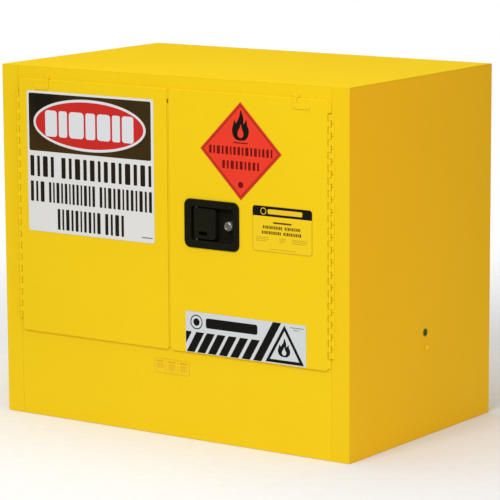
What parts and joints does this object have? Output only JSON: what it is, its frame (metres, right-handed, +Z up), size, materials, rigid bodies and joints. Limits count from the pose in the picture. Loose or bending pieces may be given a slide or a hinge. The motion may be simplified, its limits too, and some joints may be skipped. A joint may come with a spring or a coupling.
{
  "type": "flammable storage cabinet",
  "caption": "Double-wall steel cabinet with two hinged doors, a recessed paddle handle with key lock, a deep spill sump and signs on its door faces.",
  "frame": {"origin": "middle of the underside, on the floor plane and half way between the side panels and between the front and back panels", "axes": "+X to the right as seen from the front, +Y from the doors to the back, +Z up"},
  "size_m": [0.893, 0.5768, 0.762],
  "materials": {
    "enamel": "safety yellow powder coat, fine orange-peel texture, semi-gloss",
    "plated_steel": "zinc plated, satin",
    "handle_black": "black, fine satin texture",
    "chrome": "polished",
    "sign_white": "printed adhesive vinyl, semi-gloss",
    "diamond_red": "printed adhesive vinyl, semi-gloss",
    "label_yellow": "printed adhesive vinyl, semi-gloss",
    "strip_silver": "printed reflective vinyl",
    "earth_green": "printed adhesive vinyl"
  },
  "bodies": {
    "cabinet": {"left_side_panel": "enamel", "right_side_panel": "enamel", "top_panel": "enamel", "back_panel": "enamel", "base_panel": "enamel", "header_panel": "enamel", "sill_panel": "enamel", "left_liner": "enamel", "right_liner": "enamel", "back_liner": "enamel", "top_liner": "enamel", "sump_tray": "enamel", "shelf_hanger_front_left": "plated_steel", "shelf_hanger_front_right": "plated_steel", "shelf_hanger_rear_left": "plated_steel", "shelf_hanger_rear_right": "plated_steel", "base_rail_left": "plated_steel", "base_rail_right": "plated_steel", "left_hinge_frame_leaf": "enamel", "right_hinge_frame_leaf": "enamel", "left_hinge_pin": "plated_steel", "right_hinge_pin": "plated_steel", "upper_vent_tube": "plated_steel", "lower_vent_tube": "plated_steel", "upper_vent_screen": "plated_steel", "lower_vent_screen": "plated_steel", "earth_screw": "enamel", "earth_label": "earth_green", "sill_label": "label_yellow"},
    "left_door": {"left_door_skin": "enamel", "left_door_pan": "enamel", "left_hinge_door_leaf": "enamel", "left_door_bracket": "enamel", "upper_catch_shell": "plated_steel", "lower_catch_shell": "plated_steel", "warning_sign": "sign_white"},
    "right_door": {"right_door_skin": "enamel", "right_door_pan": "enamel", "right_hinge_door_leaf": "enamel", "right_door_bracket": "enamel", "handle_pan": "handle_black", "paddle_pin": "plated_steel", "lock_body": "chrome", "class_diamond": "diamond_red", "rating_plate": "label_yellow", "hazard_strip": "strip_silver"},
    "paddle": {"handle_paddle": "handle_black"},
    "latch_hub": {"latch_hub": "plated_steel"},
    "upper_rod": {"upper_latch_rod": "plated_steel"},
    "lower_rod": {"lower_latch_rod": "plated_steel"},
    "lock_plug": {"lock_plug": "chrome"},
    "upper_catch": {"upper_catch_bullet": "plated_steel"},
    "lower_catch": {"lower_catch_bullet": "plated_steel"},
    "shelf": {"shelf": "enamel"},
    "upper_vent_cap": {"upper_vent_cap": "handle_black"},
    "lower_vent_cap": {"lower_vent_cap": "handle_black"},
    "foot_front_left": {"leveling_foot_front_left": "plated_steel"},
    "foot_front_right": {"leveling_foot_front_right": "plated_steel"},
    "foot_rear_left": {"leveling_foot_rear_left": "plated_steel"},
    "foot_rear_right": {"leveling_foot_rear_right": "plated_steel"}
  },
  "joints": [
    {"name": "left_door_hinge", "type": "hinge", "parent": "cabinet", "child": "left_door", "pos_m": [-0.40015, -0.283, 0.461], "axis": [0, 0, -1], "range_deg": [0, 175], "stiffness_Nm_per_rad": 1.2, "springref_deg": -34.38},
    {"name": "right_door_hinge", "type": "hinge", "parent": "cabinet", "child": "right_door", "pos_m": [0.40015, -0.283, 0.461], "axis": [0, 0, 1], "range_deg": [0, 175], "stiffness_Nm_per_rad": 1.2, "springref_deg": -34.38},
    {"name": "paddle_pull", "type": "hinge", "parent": "right_door", "child": "paddle", "pos_m": [0.069, -0.28, 0.461], "axis": [0, 0, -1], "range_deg": [0, 35], "stiffness_Nm_per_rad": 0.4, "springref_deg": -17.19},
    {"name": "hub_turn", "type": "hinge", "parent": "right_door", "child": "latch_hub", "pos_m": [0.075, -0.2592, 0.461], "axis": [0, -1, 0], "range_deg": [0, 36]},
    {"name": "upper_rod_slide", "type": "slide", "parent": "right_door", "child": "upper_rod", "axis": [0, 0, -1], "range_m": [0, 0.0115]},
    {"name": "lower_rod_slide", "type": "slide", "parent": "right_door", "child": "lower_rod", "axis": [0, 0, 1], "range_m": [0, 0.0117]},
    {"name": "key_turn", "type": "hinge", "parent": "right_door", "child": "lock_plug", "pos_m": [0.1548, -0.27, 0.461], "axis": [0, 1, 0], "range_deg": [0, 90]},
    {"name": "upper_catch_press", "type": "slide", "parent": "left_door", "child": "upper_catch", "axis": [0, 0, -1], "range_m": [0, 0.0035], "stiffness_N_per_m": 1500, "springref_m": -0.003},
    {"name": "lower_catch_press", "type": "slide", "parent": "left_door", "child": "lower_catch", "axis": [0, 0, 1], "range_m": [0, 0.0035], "stiffness_N_per_m": 1500, "springref_m": -0.003},
    {"name": "shelf_lift", "type": "slide", "parent": "cabinet", "child": "shelf", "axis": [0, 0, 1], "range_m": [0, 0.19]},
    {"name": "upper_vent_cap_draw", "type": "slide", "parent": "cabinet", "child": "upper_vent_cap", "axis": [0, 1, 0], "range_m": [0, 0.03]},
    {"name": "lower_vent_cap_draw", "type": "slide", "parent": "cabinet", "child": "lower_vent_cap", "axis": [0, 1, 0], "range_m": [0, 0.03]},
    {"name": "foot_front_left_screw", "type": "slide", "parent": "cabinet", "child": "foot_front_left", "axis": [0, 0, -1], "range_m": [0, 0.02]},
    {"name": "foot_front_right_screw", "type": "slide", "parent": "cabinet", "child": "foot_front_right", "axis": [0, 0, -1], "range_m": [0, 0.02]},
    {"name": "foot_rear_left_screw", "type": "slide", "parent": "cabinet", "child": "foot_rear_left", "axis": [0, 0, -1], "range_m": [0, 0.02]},
    {"name": "foot_rear_right_screw", "type": "slide", "parent": "cabinet", "child": "foot_rear_right", "axis": [0, 0, -1], "range_m": [0, 0.02]}
  ],
  "couplings": [
    {"joint": "paddle_pull", "follows": "upper_rod_slide", "rad_per_m": 53},
    {"joint": "hub_turn", "follows": "upper_rod_slide", "rad_per_m": 53},
    {"joint": "lower_rod_slide", "follows": "upper_rod_slide", "ratio": 1}
  ]
}
